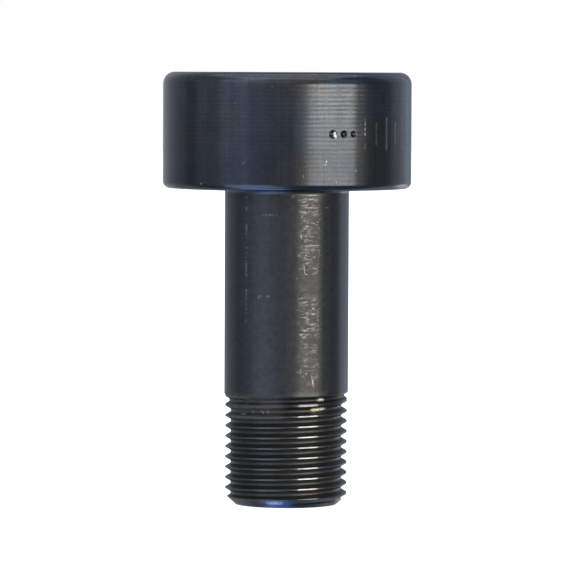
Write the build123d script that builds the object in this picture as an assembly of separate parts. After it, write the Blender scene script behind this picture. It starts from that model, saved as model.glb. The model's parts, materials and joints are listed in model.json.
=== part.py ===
from build123d import *

import math
import os

# Stud-type cam follower with a caged needle roller bearing, in millimetres.
# The origin is where the stud's axis meets the mounting face, and +Z runs along the axis to the head.

INCH = 25.4

# Driving dimensions
ROLLER_OD = 1.5 * INCH
ROLLER_WIDTH = 0.7 * INCH
STUD_DIA = 0.75 * INCH
STUD_LENGTH = (1 + 29 / 32) * INCH      # mounting face to the threaded end
THREAD_PITCH = INCH / 16                # 3/4-16 UNF
NEEDLE_COUNT = 18
NEEDLE_DIA = 2.5

# Running clearances
NEEDLE_CLEARANCE = 0.015                # radial, at each raceway
POCKET_CLEARANCE = 0.065                # each side of a needle in its cage window
END_CLEARANCE = 0.06                    # axial, at the thrust faces
LIP_CLEARANCE = 0.08                    # radial, between a seal lip and its flange

# Roller, along the axis
PLATE_PROUD = 0.15                      # mounting face below the roller's lower face
HEAD_RECESS = 0.05                      # head face below the roller's upper face
ROLLER_LOW = PLATE_PROUD
ROLLER_HIGH = ROLLER_LOW + ROLLER_WIDTH
ROLLER_MID = (ROLLER_LOW + ROLLER_HIGH) / 2
HEAD_FACE = ROLLER_HIGH - HEAD_RECESS
PLATE_THICKNESS = 2.4
SPACE_LOW = PLATE_THICKNESS             # inner face of the end plate
SPACE_HIGH = 2 * ROLLER_MID - SPACE_LOW  # inner face of the head flange
SEAL_THICKNESS = 0.8
SHOULDER_LOW = SPACE_LOW + END_CLEARANCE + SEAL_THICKNESS
SHOULDER_HIGH = SPACE_HIGH - END_CLEARANCE - SEAL_THICKNESS
UPPER_EDGE_R = 1.8
LOWER_EDGE_R = 1.0

# Radii
ROLLER_R = ROLLER_OD / 2
SHANK_R = STUD_DIA / 2
INNER_RACEWAY_R = 10.9
OUTER_RACEWAY_R = INNER_RACEWAY_R + NEEDLE_DIA
PITCH_R = INNER_RACEWAY_R + NEEDLE_DIA / 2
FLANGE_R = 14.6
COUNTERBORE_R = 15.1
SHANK_FILLET = 0.55
PLATE_SEAT_R = SHANK_R + SHANK_FILLET

# Thread
THREAD_MAJOR_R = SHANK_R - 0.16
THREAD_DEPTH = 0.84
THREAD_ROOT_R = THREAD_MAJOR_R - THREAD_DEPTH
ROOT_FLAT = THREAD_PITCH / 4
FLANK_ANGLE = 30
CUTTER_OVERLAP = 0.11                   # how far the cutter stands out past the crest
END_CHAMFER = 1.57                      # radial
END_CHAMFER_RISE = 1.4                  # axial
THREAD_START = -STUD_LENGTH - 1.49      # where the cutter begins, in the air below the stud
THREAD_START_ANGLE = 180
FULL_TURNS = 10.5
SEAM_ANGLE = 135                        # turns the plain surfaces' seams clear of the cutters' ends
RUNOUT_SLOW = (1.0, 0.44)               # turns, radial rise while the groove first fades
RUNOUT_QUICK = (0.4, 0.60)              # turns, radial rise as it leaves the shank
SHANK_END = THREAD_START + (FULL_TURNS + RUNOUT_SLOW[0]) * THREAD_PITCH + 0.54

# Head socket, lubrication channel and grease fitting
SOCKET_AF = 5 / 16 * INCH
SOCKET_DEPTH = 4.8
SOCKET_FLOOR = HEAD_FACE - SOCKET_DEPTH
FITTING_R = 2.38
FITTING_LENGTH = 4.4
FITTING_LOW = SOCKET_FLOOR - FITTING_LENGTH
CHANNEL_R = 1.25
CROSS_HOLE_R = 1.0
CROSS_HOLE_Z = ROLLER_MID - 2.2
BALL_R = 0.95
SEAT_R = 0.75
SEAT_Z = SOCKET_FLOOR - 1.0             # lower edge of the ball's seat
CHAMBER_R = 1.15
CRIMP_Z = FITTING_LOW + 0.4
SPRING_WIRE = 0.22
SPRING_R = 0.72
SPRING_TURNS = 3
BALL_Z = SEAT_Z - math.sqrt(BALL_R**2 - SEAT_R**2) - 0.02

# Cage and needles, along the axis
CAGE_END_GAP = 0.08
CAGE_LOW = SHOULDER_LOW + CAGE_END_GAP
CAGE_HIGH = SHOULDER_HIGH - CAGE_END_GAP
CAGE_INNER_R = 11.45
CAGE_OUTER_R = 12.95
CAGE_RIM = 0.78
NEEDLE_END_GAP = 0.07
WINDOW_LENGTH = CAGE_HIGH - CAGE_LOW - 2 * CAGE_RIM
NEEDLE_LENGTH = WINDOW_LENGTH - 2 * NEEDLE_END_GAP
NEEDLE_R = NEEDLE_DIA / 2 - NEEDLE_CLEARANCE

# Marks in the roller's tread, as angles from the front (-Y) towards +X
MARK_Z = ROLLER_MID - 0.35
DIMPLES = ((21.0, 0.62, 0.34), (26.5, 0.55, 0.26), (31.4, 0.48, 0.14))  # angle, radius, depth
FIRST_TICK = 37.4
TICK_STEP = 7.2
TICK_HEIGHTS = (5.0, 3.4, 5.0, 3.4, 5.0)
TICK_WIDTH = 0.24
TICK_DEPTH = 0.12


def revolve_profile(points):
    """Solid of revolution about Z from (radius, height) points."""
    outline = Polyline(*[(r, 0, z) for r, z in points], close=True)
    return revolve(make_face(outline), axis=Axis.Z)


def on_axis(radius, low, high):
    """Cylinder on the Z axis between two heights."""
    return Pos(0, 0, low) * Cylinder(radius, high - low, align=(Align.CENTER, Align.CENTER, Align.MIN))


def edges_at(shape, radius, z):
    """Circular edges of that radius at that height."""
    rings = shape.edges().filter_by(GeomType.CIRCLE)
    return [e for e in rings if abs(e.radius - radius) < 1e-4 and abs(e.arc_center.Z - z) < 1e-4]


def groove_section(height, extra=0.0):
    """Thread groove in the XZ plane at that height, moved out by extra."""
    half_root = ROOT_FLAT / 2
    reach = THREAD_DEPTH + CUTTER_OVERLAP
    half_mouth = half_root + reach * math.tan(math.radians(FLANK_ANGLE))
    root = THREAD_ROOT_R + extra
    return make_face(
        Polyline(
            (root, 0, height - half_root),
            (root + reach, 0, height - half_mouth),
            (root + reach, 0, height + half_mouth),
            (root, 0, height + half_root),
            close=True,
        )
    )


def thread_cutters():
    """Helical cutters: the full thread, then two spans that rise out of the shank."""
    cutters = []
    height, extra, turn = THREAD_START, 0.0, 0.0
    for turns, rise in ((FULL_TURNS, 0.0), RUNOUT_SLOW, RUNOUT_QUICK):
        span = turns * THREAD_PITCH
        cone = math.degrees(math.atan2(rise, span))
        path = Helix(THREAD_PITCH, span, THREAD_ROOT_R + extra, cone_angle=cone)
        cutter = sweep(groove_section(0, extra), path=path, is_frenet=True)
        cutters.append(Pos(0, 0, height) * Rot(0, 0, THREAD_START_ANGLE + 360 * turn) * cutter)
        height += span
        extra += rise
        turn += turns
    return cutters


def make_stud():
    """Forged stud: flanged head, inner raceway, shank and thread in one piece."""
    step = SHANK_R - THREAD_MAJOR_R
    body = revolve_profile(
        [
            (0, HEAD_FACE),
            (FLANGE_R - 0.5, HEAD_FACE),
            (FLANGE_R, HEAD_FACE - 0.5),
            (FLANGE_R, SPACE_HIGH),
            (INNER_RACEWAY_R, SPACE_HIGH),
            (INNER_RACEWAY_R, SPACE_LOW),
            (PLATE_SEAT_R, SPACE_LOW),
            (PLATE_SEAT_R, 0),
            (SHANK_R, 0),
            (SHANK_R, SHANK_END),
            (THREAD_MAJOR_R, SHANK_END - step),
            (THREAD_MAJOR_R, -STUD_LENGTH + END_CHAMFER_RISE),
            (THREAD_MAJOR_R - END_CHAMFER, -STUD_LENGTH),
            (0, -STUD_LENGTH),
        ]
    )
    body = Rot(0, 0, SEAM_ANGLE) * fillet_under_seat(body)
    for cutter in thread_cutters():
        body -= cutter
    body -= hex_socket()
    body -= on_axis(FITTING_R, FITTING_LOW, SOCKET_FLOOR)
    body -= on_axis(CHANNEL_R, CROSS_HOLE_Z - CROSS_HOLE_R - 0.5, FITTING_LOW)
    cross_hole = Cylinder(CROSS_HOLE_R, FLANGE_R, align=(Align.CENTER, Align.CENTER, Align.MIN))
    body -= Pos(0, 0, CROSS_HOLE_Z) * Rot(90, 0, 0) * cross_hole
    body -= centre_drilling()
    return body


def fillet_under_seat(body):
    """Adds the concave fillet between the plate seat and the shank, below the mounting face."""
    ring = revolve_profile(
        [
            (SHANK_R - 0.5, 0),
            (PLATE_SEAT_R, 0),
            (SHANK_R, -SHANK_FILLET),
            (SHANK_R - 0.5, -SHANK_FILLET),
        ]
    )
    hollow = Torus(PLATE_SEAT_R, SHANK_FILLET)
    return body + (ring - Pos(0, 0, -SHANK_FILLET) * hollow)


def hex_socket():
    """Broached hexagon with a countersunk mouth."""
    prism = extrude(RegularPolygon(SOCKET_AF / 2, 6, major_radius=False), SOCKET_DEPTH)
    corner_r = SOCKET_AF / 2 / math.cos(math.radians(30))
    mouth = Cone(corner_r - 0.9, corner_r + 0.3, 1.2, align=(Align.CENTER, Align.CENTER, Align.MAX))
    return Pos(0, 0, SOCKET_FLOOR) * prism + Pos(0, 0, HEAD_FACE) * mouth


def centre_drilling():
    """60 degree centre in the threaded end."""
    low = -STUD_LENGTH
    cone = Cone(1.7, 0.8, 1.56, align=(Align.CENTER, Align.CENTER, Align.MIN))
    return Pos(0, 0, low) * cone + on_axis(0.8, low, low + 3.2)


def make_outer_ring():
    """Roller: hardened ring with the outer raceway and a counterbore at each end."""
    lead = 0.3
    ring = revolve_profile(
        [
            (COUNTERBORE_R + lead, ROLLER_HIGH),
            (ROLLER_R, ROLLER_HIGH),
            (ROLLER_R, ROLLER_LOW),
            (COUNTERBORE_R + lead, ROLLER_LOW),
            (COUNTERBORE_R, ROLLER_LOW + lead),
            (COUNTERBORE_R, SHOULDER_LOW),
            (OUTER_RACEWAY_R, SHOULDER_LOW),
            (OUTER_RACEWAY_R, SHOULDER_HIGH),
            (COUNTERBORE_R, SHOULDER_HIGH),
            (COUNTERBORE_R, ROLLER_HIGH - lead),
        ]
    )
    ring = fillet(edges_at(ring, ROLLER_R, ROLLER_HIGH), UPPER_EDGE_R)
    ring = fillet(edges_at(ring, ROLLER_R, ROLLER_LOW), LOWER_EDGE_R)
    for mark in tread_marks():
        ring -= mark
    return ring


def on_tread(angle, shape):
    """Places a cutter built at +X, on the tread, at that angle from the front."""
    return Pos(0, 0, MARK_Z) * Rot(0, 0, angle - 90) * Pos(ROLLER_R, 0, 0) * shape


def tread_marks():
    """Punched dimples and a row of plain tick strokes, all shallow."""
    marks = []
    for angle, radius, depth in DIMPLES:
        ball = (radius**2 + depth**2) / (2 * depth)
        marks.append(on_tread(angle, Pos(ball - depth, 0, 0) * Sphere(ball)))
    for number, height in enumerate(TICK_HEIGHTS):
        marks.append(on_tread(FIRST_TICK + number * TICK_STEP, Box(2 * TICK_DEPTH, TICK_WIDTH, height)))
    return marks


def make_end_plate():
    """Side plate pressed on the stud's seat, whose outer face is the mounting face."""
    edge = 0.4
    return revolve_profile(
        [
            (PLATE_SEAT_R, 0),
            (FLANGE_R - edge, 0),
            (FLANGE_R, edge),
            (FLANGE_R, PLATE_THICKNESS),
            (PLATE_SEAT_R, PLATE_THICKNESS),
        ]
    )


def make_plate_seal():
    """Thrust washer with a lip round the end plate's rim; it turns with the roller."""
    lip_r = FLANGE_R + LIP_CLEARANCE
    thrust_face = SPACE_LOW + END_CLEARANCE
    lip_end = ROLLER_LOW + 0.45
    return revolve_profile(
        [
            (INNER_RACEWAY_R + 0.15, thrust_face),
            (lip_r, thrust_face),
            (lip_r, lip_end + 0.2),
            (lip_r + 0.2, lip_end),
            (COUNTERBORE_R, lip_end),
            (COUNTERBORE_R, SHOULDER_LOW),
            (INNER_RACEWAY_R + 0.15, SHOULDER_LOW),
        ]
    )


def make_head_seal():
    """The same washer the other way up, at the head flange."""
    middle = Plane.XY.offset(ROLLER_MID)
    return mirror(make_plate_seal(), about=middle)


def make_cage():
    """Window cage: two rims joined by a bar between each pair of needles."""
    cage = on_axis(CAGE_OUTER_R, CAGE_LOW, CAGE_HIGH) - on_axis(CAGE_INNER_R, CAGE_LOW, CAGE_HIGH)
    width = 2 * (NEEDLE_DIA / 2 + POCKET_CLEARANCE)
    window = Pos(PITCH_R, 0, ROLLER_MID) * Box(4, width, WINDOW_LENGTH)
    return cage - [Rot(0, 0, angle) * window for angle in needle_angles()]


def needle_angles():
    """Where the needles lie round the axis, in degrees from +X."""
    return [360 * i / NEEDLE_COUNT for i in range(NEEDLE_COUNT)]


def make_needle(angle):
    """One needle roller with rounded ends, standing at its place in the cage."""
    needle = Cylinder(NEEDLE_R, NEEDLE_LENGTH)
    needle = fillet(needle.edges().filter_by(GeomType.CIRCLE), 0.3)
    return Rot(0, 0, angle) * Pos(PITCH_R, 0, ROLLER_MID) * needle


def make_fitting_body():
    """Flush drive-in grease fitting: dished mouth, ball seat, chamber and crimped foot."""
    return revolve_profile(
        [
            (SEAT_R, SEAT_Z),
            (SEAT_R, SOCKET_FLOOR - 0.6),
            (1.3, SOCKET_FLOOR - 0.05),
            (FITTING_R - 0.3, SOCKET_FLOOR - 0.05),
            (FITTING_R, SOCKET_FLOOR - 0.35),
            (FITTING_R, FITTING_LOW),
            (SEAT_R, FITTING_LOW),
            (SEAT_R, CRIMP_Z),
            (CHAMBER_R, CRIMP_Z),
            (CHAMBER_R, SEAT_Z),
        ]
    )


def make_fitting_ball():
    """Check ball under its seat."""
    return Pos(0, 0, BALL_Z) * Sphere(BALL_R)


def make_fitting_spring():
    """Spring that holds the check ball up."""
    low = CRIMP_Z + SPRING_WIRE / 2 + 0.02
    touch = math.sqrt((BALL_R + SPRING_WIRE / 2) ** 2 - SPRING_R**2)
    high = BALL_Z - touch - 0.03
    path = Helix((high - low) / SPRING_TURNS, high - low, SPRING_R)
    wire = Plane(origin=path @ 0, z_dir=path % 0) * Circle(SPRING_WIRE / 2)
    return Pos(0, 0, low) * sweep(wire, path=path, is_frenet=True)


def write(name, shape):
    """One STEP file for each sub-part."""
    export_step(shape, f"parts/{name}.step")


def main():
    os.makedirs("parts", exist_ok=True)
    write("stud", make_stud())
    write("outer_ring", make_outer_ring())
    write("end_plate", make_end_plate())
    write("head_seal", make_head_seal())
    write("plate_seal", make_plate_seal())
    write("needle_cage", make_cage())
    for number, angle in enumerate(needle_angles(), 1):
        write(f"needle_{number:02d}", make_needle(angle))
    write("grease_fitting_body", make_fitting_body())
    write("grease_fitting_ball", make_fitting_ball())
    write("grease_fitting_spring", make_fitting_spring())


main()
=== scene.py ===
import json
import math

import bmesh
import bpy
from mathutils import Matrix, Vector


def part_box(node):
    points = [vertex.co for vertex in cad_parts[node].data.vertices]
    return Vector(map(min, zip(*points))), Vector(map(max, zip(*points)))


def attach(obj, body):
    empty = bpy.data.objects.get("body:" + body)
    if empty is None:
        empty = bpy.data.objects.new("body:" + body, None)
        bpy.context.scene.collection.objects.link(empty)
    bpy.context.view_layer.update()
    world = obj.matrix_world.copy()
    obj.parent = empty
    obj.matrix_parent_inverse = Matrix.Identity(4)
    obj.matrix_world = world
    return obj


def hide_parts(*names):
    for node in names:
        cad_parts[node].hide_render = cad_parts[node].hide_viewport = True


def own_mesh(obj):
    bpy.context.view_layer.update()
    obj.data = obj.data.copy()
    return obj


# The looks of a stud-type cam follower. Shapes are in millimetres, about the stud's axis (+Z to the
# head), with angles counted from the front (-Y) towards +X. The frame gives the main sizes.

MM = 0.001
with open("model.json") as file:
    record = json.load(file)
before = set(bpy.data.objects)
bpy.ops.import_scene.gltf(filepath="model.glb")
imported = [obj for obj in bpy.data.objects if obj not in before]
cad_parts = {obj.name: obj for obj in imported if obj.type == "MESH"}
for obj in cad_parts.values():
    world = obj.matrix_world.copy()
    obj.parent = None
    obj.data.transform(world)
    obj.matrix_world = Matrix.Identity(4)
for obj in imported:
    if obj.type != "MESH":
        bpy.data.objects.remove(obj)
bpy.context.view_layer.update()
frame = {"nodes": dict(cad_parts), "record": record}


def extent(node):
    """A CAD node's largest radius about the axis and its lowest and highest height."""
    points = [v.co for v in frame["nodes"][node].data.vertices]
    radius = max(math.hypot(p.x, p.y) for p in points)
    return radius / MM, min(p.z for p in points) / MM, max(p.z for p in points) / MM


NEEDLES = sorted(n for n in frame["nodes"] if n.startswith("needle_") and n != "needle_cage")
MOUNTS = {mount["name"]: mount for mount in frame["record"]["mounts"]}
TREAD_R = MOUNTS["roller_tread"]["dims"]["r_mm"]
SHANK_R = MOUNTS["stud_shank"]["dims"]["r_mm"]
_, RING_LOW, RING_HIGH = extent("outer_ring")
FLANGE_R, STUD_END, HEAD_FACE = extent("stud")
_, PLATE_FACE, PLATE_TOP = extent("end_plate")
SEAL_R, LIP_LOW, SHOULDER_LOW = extent("plate_seal")
_, SHOULDER_HIGH, LIP_HIGH = extent("head_seal")
CAGE_R, CAGE_LOW, CAGE_HIGH = extent("needle_cage")
FITTING_R, FITTING_LOW, FITTING_HIGH = extent("grease_fitting_body")
BALL_R, BALL_LOW, BALL_HIGH = extent("grease_fitting_ball")
SPRING_OUTER_R, SPRING_LOW, SPRING_HIGH = extent("grease_fitting_spring")
RING_MID = (RING_LOW + RING_HIGH) / 2
FLANGE_LOW = 2 * RING_MID - PLATE_TOP

# Stud
INNER_RACEWAY_R = 10.9
SHANK_FILLET = 0.55
SEAT_R = SHANK_R + SHANK_FILLET
SEAT_END = -0.04  # height where the plate's seat runs into the fillet
HEX_FLAT_R = 25.4 * 5 / 32
MOUTH_R = HEX_FLAT_R / math.cos(math.pi / 6) + 0.3
SOCKET_FLOOR = FITTING_HIGH + 0.05
CHANNEL_R = 1.25
CHANNEL_LOW = 5.34
CENTRE_R = 1.7
CENTRE_TIP_R = 0.8
CENTRE_RISE = 1.56
CENTRE_DEPTH = 3.2
STUD_COLUMNS = 168

# Thread, 3/4-16 UNF
PITCH = 25.4 / 16
CREST_R = SHANK_R - 0.16
THREAD_DEPTH = 0.84
ROOT_R = CREST_R - THREAD_DEPTH
ROOT_FLAT = PITCH / 4
FLANK_SLOPE = math.tan(math.radians(30))
GROOVE_AT_FRONT = STUD_END - 1.49 + PITCH / 4  # height of a groove's centre line at the front
FULL_TURNS = 10.25  # turns from there until the groove starts to fade
RUNOUT_SLOW = (1.0, 0.44)  # turns, radial rise
RUNOUT_QUICK = (0.4, 0.60)
SHANK_END = STUD_END + 16.95  # height of the step between shank and thread
THREAD_TOP = SHANK_END + 1.4
END_R = 7.795
END_CHAMFER_RISE = 1.4
# Rows across half a groove, in pitches, closest where its profile bends
ROW_PHASES = (0, 0.07, 0.11, 0.14, 0.2, 0.28, 0.36, 0.405, 0.43, 0.455, 0.5)

# Roller
OUTER_RACEWAY_R = 13.4
COUNTERBORE_R = 15.1
UPPER_EDGE_R = 1.8
LOWER_EDGE_R = 1.0
MARK_Z = RING_MID - 0.35
DIMPLES = ((21.0, 0.62, 0.34), (26.5, 0.55, 0.26), (31.4, 0.48, 0.14))  # angle, radius, depth
FIRST_TICK = 37.4
TICK_STEP = 7.2
TICK_HEIGHTS = (5.0, 3.4, 5.0, 3.4, 5.0)
TICK_WIDTH = 0.24
TICK_DEPTH = 0.12
FEED = 0.66  # the turning lines' spacing on the tread

# Wear and dirt, each at an angle and height, with half-length, half-height and tilt in degrees
TREAD_NICKS = (
    (18.0, 4.6, 0.10, 0.22, -20), (17.4, 4.15, 0.16, 0.07, 30), (32.9, 3.2, 0.14, 0.12, 0),
    (-6.9, 15.8, 0.22, 0.07, -30), (-20.0, 4.3, 0.35, 0.06, 35), (7.4, 2.4, 0.07, 0.30, 10),
    (-42.8, 1.1, 0.32, 0.22, 0),
)
SHANK_BRIGHT = (
    (21.5, -0.72, 1.5, 0.09, 0), (22.5, -1.28, 1.1, 0.10, 0), (24.5, -8.35, 1.5, 0.08, 3),
    (26.6, -10.1, 0.16, 0.12, 0), (30.8, -10.1, 0.12, 0.12, 0), (16.3, -12.0, 0.10, 0.75, 8),
    (18.3, -12.7, 0.35, 0.08, -20), (13.2, -6.9, 0.10, 0.55, 10), (13.6, -21.85, 0.36, 0.10, 0),
    (19.5, -21.85, 0.28, 0.10, 15), (16.0, -22.35, 0.45, 0.09, 0), (25.0, -29.0, 0.13, 1.15, 12),
    (18.5, -27.8, 0.14, 0.12, 0), (19.0, -5.4, 0.5, 0.07, 12), (21.0, -7.5, 0.6, 0.07, -8),
    (17.5, -9.9, 0.12, 0.40, -30), (62.0, -0.35, 0.09, 0.5, -38),
)
SHANK_FAINT = (
    (-25.5, -16.2, 0.45, 0.35, 20), (-17.0, -16.1, 0.35, 0.25, 0), (-18.0, -3.7, 1.3, 0.15, 0),
    (6.0, -2.6, 0.14, 0.14, 0), (40.0, -2.6, 0.5, 0.10, 0), (23.0, -2.6, 1.6, 0.10, 0),
    (5.5, -0.9, 0.2, 0.25, 0), (-9.5, -3.7, 0.2, 0.15, 0), (9.3, -13.3, 0.15, 0.15, 0),
)
THREAD_DEBRIS = (
    (36.0, -31.9, 0.85, 0.26, -2), (35.5, -33.35, 1.75, 0.27, 4), (28.8, -33.45, 0.55, 0.34, 0),
)
THREAD_SCUFFS = (
    (-24.8, -33.75, 0.45, 0.15, -45), (-18.5, -33.7, 0.38, 0.14, -35), (-36.4, -33.75, 0.13, 0.36, 0),
    (-47.5, -34.2, 0.8, 0.12, 0),
)

# Camera: level with the roller's upper face, looking slightly down
CAMERA_DISTANCE = 667
CAMERA_DIP = 2.845
CAMERA_ROLL = -0.25
LENS = 272

# The key light's overlapping panels: first and last angle, and radiance
KEY_ELEVATION = -4
KEY_HEIGHT = 26
KEY_COLOUR = (1.05, 1.0, 0.90)
KEY_PANELS = ((9, 64, 0.6), (15, 64, 0.45), (20, 64.5, 3.2), (60, 77, 0.5))

# The other panels: name, (angle, elevation), (width, height) in degrees, radiance, colour
LIGHT_DISTANCE = 700
PANELS = (
    ("upper_front", (5, 36), (120, 44), 0.4, (0.95, 1.0, 1.1)),
    ("left_near", (-48, 22), (32, 84), 0.3, (0.9, 1.0, 1.25)),
    ("left_wide", (-58, 22), (72, 84), 0.26, (0.92, 1.0, 1.12)),
    ("front", (-9, -5), (34, 60), 0.22, (1.05, 1.0, 0.95)),
    ("left_back", (-135, 10), (62, 100), 0.15, (1.1, 1.0, 0.8)),
    ("right_back", (132, 0), (42, 100), 0.3, (0.95, 1.0, 1.1)),
    ("overhead", (0, 85), (70, 70), 1.1, (0.95, 1.0, 1.08)),
    ("low_front", (-38, -38), (44, 50), 1.5, (0.8, 1.0, 1.3)),
    ("low_left", (-84, -78), (24, 24), 2.2, (0.75, 0.9, 1.4)),
    ("low_right", (138, -17), (16, 16), 1.7, (1.0, 1.0, 1.0)),
    ("low_right_end", (157, -17), (22, 16), 0.5, (1.0, 1.0, 1.0)),
    ("low_behind", (-140, -17), (80, 14), 0.12, (0.95, 1.0, 1.1)),
    ("below", (180, -58), (110, 34), 0.3, (0.9, 1.0, 1.15)),
)
WHITE = (1.0, 1.0, 1.0, 1.0)
SURROUND_TINT = (0.86, 1.0, 1.25, 1.0)
SURROUND_GLOW = 0.33
FLOOR_GREY = (0.85, 0.85, 0.85, 1.0)
FLOOR_GLOW = 0.96
FLOOR_HALF = 3.0  # metres


# ------------ shapes

def placed(name, data):
    """A new object in the scene."""
    made = bpy.data.objects.new(name, data)
    bpy.context.scene.collection.objects.link(made)
    return made


def meshed(name, points, faces, merge=0.0):
    """A smooth object from points in millimetres, with its normals outward."""
    mesh = bpy.data.meshes.new(name)
    mesh.from_pydata([[x * MM for x in p] for p in points], [], faces)
    clean = bmesh.new()
    clean.from_mesh(mesh)
    if merge:
        bmesh.ops.remove_doubles(clean, verts=clean.verts, dist=merge * MM)
    bmesh.ops.recalc_face_normals(clean, faces=clean.faces)
    clean.to_mesh(mesh)
    clean.free()
    mesh.shade_smooth()
    return placed(name, mesh)


def rounded(corners, closed=False, steps=5):
    """(r, z) points along an outline of (r, z, radius) corners, each corner turned into an arc."""
    points = []
    for i, (r, z, radius) in enumerate(corners):
        here = Vector((r, z))
        if radius == 0:
            points.append(here)
            continue
        before = (Vector(corners[i - 1][:2]) - here).normalized()
        after = (Vector(corners[(i + 1) % len(corners)][:2]) - here).normalized()
        half = before.angle(after) / 2
        centre = here + (before + after).normalized() * radius / math.sin(half)
        start = here + before * radius / math.tan(half) - centre
        end = here + after * radius / math.tan(half) - centre
        turn = math.pi - 2 * half
        for step in range(steps + 1):
            t = step / steps
            spoke = start * math.sin((1 - t) * turn) + end * math.sin(t * turn)
            points.append(centre + spoke / math.sin(turn))
    return supported(points, closed)


def supported(points, closed, gap=0.12):
    """Adds a point just inside each end of a long run, so that it shades flat up to its corners."""
    result = []
    for i, here in enumerate(points):
        result.append(here)
        if i == len(points) - 1 and not closed:
            break
        run = points[(i + 1) % len(points)] - here
        if run.length > 4 * gap:
            result.append(here + run.normalized() * gap)
            result.append(here + run - run.normalized() * gap)
    return result


def even_angles(columns):
    """Column angles all the way round."""
    return [360 * i / columns for i in range(columns)]


class Surface:
    """Points in millimetres round the axis, and the faces between them."""

    def __init__(self, angles):
        self.turns = [math.radians(a) for a in angles]
        self.points = []
        self.faces = []

    def place(self, column, radius, height):
        """One point, at a column's angle."""
        turn = self.turns[column]
        self.points.append((radius * math.sin(turn), -radius * math.cos(turn), height))
        return len(self.points) - 1

    def ring(self, radius, height):
        """A ring of points; radius and height are numbers, or lists with one for each column."""
        columns = range(len(self.turns))
        radii = radius if isinstance(radius, list) else [radius] * len(columns)
        heights = height if isinstance(height, list) else [height] * len(columns)
        return [self.place(c, radii[c], heights[c]) for c in columns]

    def pole(self, height):
        """A point on the axis, as a ring of no width."""
        self.points.append((0, 0, height))
        return [len(self.points) - 1] * len(self.turns)

    def face(self, *corners):
        """A face through those points, without repeats."""
        found = list(dict.fromkeys(corners))
        if len(found) > 2:
            self.faces.append(found)

    def join(self, lower, upper):
        """The band of faces between two rings."""
        count = len(lower)
        for c in range(count):
            n = (c + 1) % count
            self.face(lower[c], lower[n], upper[n], upper[c])

    def join_all(self, rings, closed=False):
        """The bands between each ring and the next."""
        for lower, upper in zip(rings, rings[1:]):
            self.join(lower, upper)
        if closed:
            self.join(rings[-1], rings[0])

    def build(self, name, merge=0.0):
        """The object; points closer together than merge become one."""
        return meshed(name, self.points, self.faces, merge)


def lathe(name, corners, columns=144, closed=True):
    """A turned piece from its outline; an open outline starts and ends on the axis."""
    surface = Surface(even_angles(columns))
    rings = []
    for r, z in rounded(corners, closed):
        rings.append(surface.pole(z) if r < 1e-6 else surface.ring(r, z))
    surface.join_all(rings, closed)
    return surface.build(name)


def smooth_min(a, b, blend):
    """The smaller of two numbers, eased where they are closer than blend."""
    near = max(blend - abs(a - b), 0) / blend
    return min(a, b) - near * near * blend / 4


def ease(x):
    """0 to 1, easing at both ends."""
    x = min(max(x, 0), 1)
    return x * x * (3 - 2 * x)


# ------------ the stud

def socket_radius(turn):
    """The hexagon's radius; its corners are on the X axis."""
    across = (turn + math.pi / 2) % (math.pi / 3) - math.pi / 6
    return HEX_FLAT_R / math.cos(across)


def head_rings(surface):
    """From the grease channel's floor, out of the hexagon socket and over the flange to the seat."""
    hexagon = [socket_radius(turn) for turn in surface.turns]
    mouth = [HEAD_FACE - (MOUTH_R - r) for r in hexagon]
    shoulder = [z - 0.15 for z in mouth]
    corner = 0.12
    lip = 0.08
    inside = [
        (0.4, CHANNEL_LOW),
        (CHANNEL_R, CHANNEL_LOW + 0.3),
        (CHANNEL_R, FITTING_LOW),
        (FITTING_R, FITTING_LOW),
        (FITTING_R, SOCKET_FLOOR),
    ]
    rings = [surface.pole(CHANNEL_LOW), *(surface.ring(r, z) for r, z in inside)]
    rings += [
        surface.ring([r - corner for r in hexagon], SOCKET_FLOOR),
        surface.ring(hexagon, SOCKET_FLOOR + corner),
        surface.ring(hexagon, shoulder),
        surface.ring(hexagon, mouth),
        surface.ring([r + 0.06 for r in hexagon], [z + 0.06 for z in mouth]),
        surface.ring(MOUTH_R - lip, HEAD_FACE - lip),
    ]
    outside = [
        (MOUTH_R, HEAD_FACE, 0.05),
        (FLANGE_R - 0.5, HEAD_FACE, 0.1),
        (FLANGE_R, HEAD_FACE - 0.5, 0.1),
        (FLANGE_R, FLANGE_LOW, 0.1),
        (INNER_RACEWAY_R, FLANGE_LOW, 0.15),
        (INNER_RACEWAY_R, PLATE_TOP, 0.08),
        (SEAT_R, PLATE_TOP, 0.08),
        (SEAT_R, PLATE_FACE, 0.03),
    ]
    first = (MOUTH_R - lip, HEAD_FACE - lip, 0)
    last = (SEAT_R, SEAT_END, 0)
    rings += [surface.ring(r, z) for r, z in rounded([first, *outside, last])[1:]]
    return rings


def shank_rings(surface):
    """The fillet under the plate's seat and the ground shank, down to the thread's run-out."""
    rings = []
    steps = 8
    for step in range(1, steps + 1):
        bend = math.radians(90 * step / steps)
        r = SEAT_R - SHANK_FILLET * math.sin(bend)
        rings.append(surface.ring(r, SEAT_END - (SHANK_FILLET + SEAT_END) * (1 - math.cos(bend))))
    rings.append(surface.ring(SHANK_R, -SHANK_FILLET - 0.12))
    spans = 12
    for step in range(1, spans):
        rings.append(surface.ring(SHANK_R, -SHANK_FILLET + (THREAD_TOP + SHANK_FILLET) * step / spans))
    rings.append(surface.ring(SHANK_R, THREAD_TOP + 0.05))
    return rings


def groove_rise(turns):
    """How far the groove has moved out of the stud after that many turns."""
    fading = turns - FULL_TURNS
    slow, slow_rise = RUNOUT_SLOW
    quick, quick_rise = RUNOUT_QUICK
    if fading <= 0:
        return 0.0
    if fading <= slow:
        return slow_rise * fading / slow
    return slow_rise + quick_rise * (fading - slow) / quick


def groove_radius(away, turns):
    """The groove's surface at that distance along the axis from its centre line."""
    flank = ROOT_R + (abs(away) - ROOT_FLAT / 2) / FLANK_SLOPE
    return -smooth_min(-flank, -ROOT_R, 0.12) + groove_rise(turns)


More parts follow.
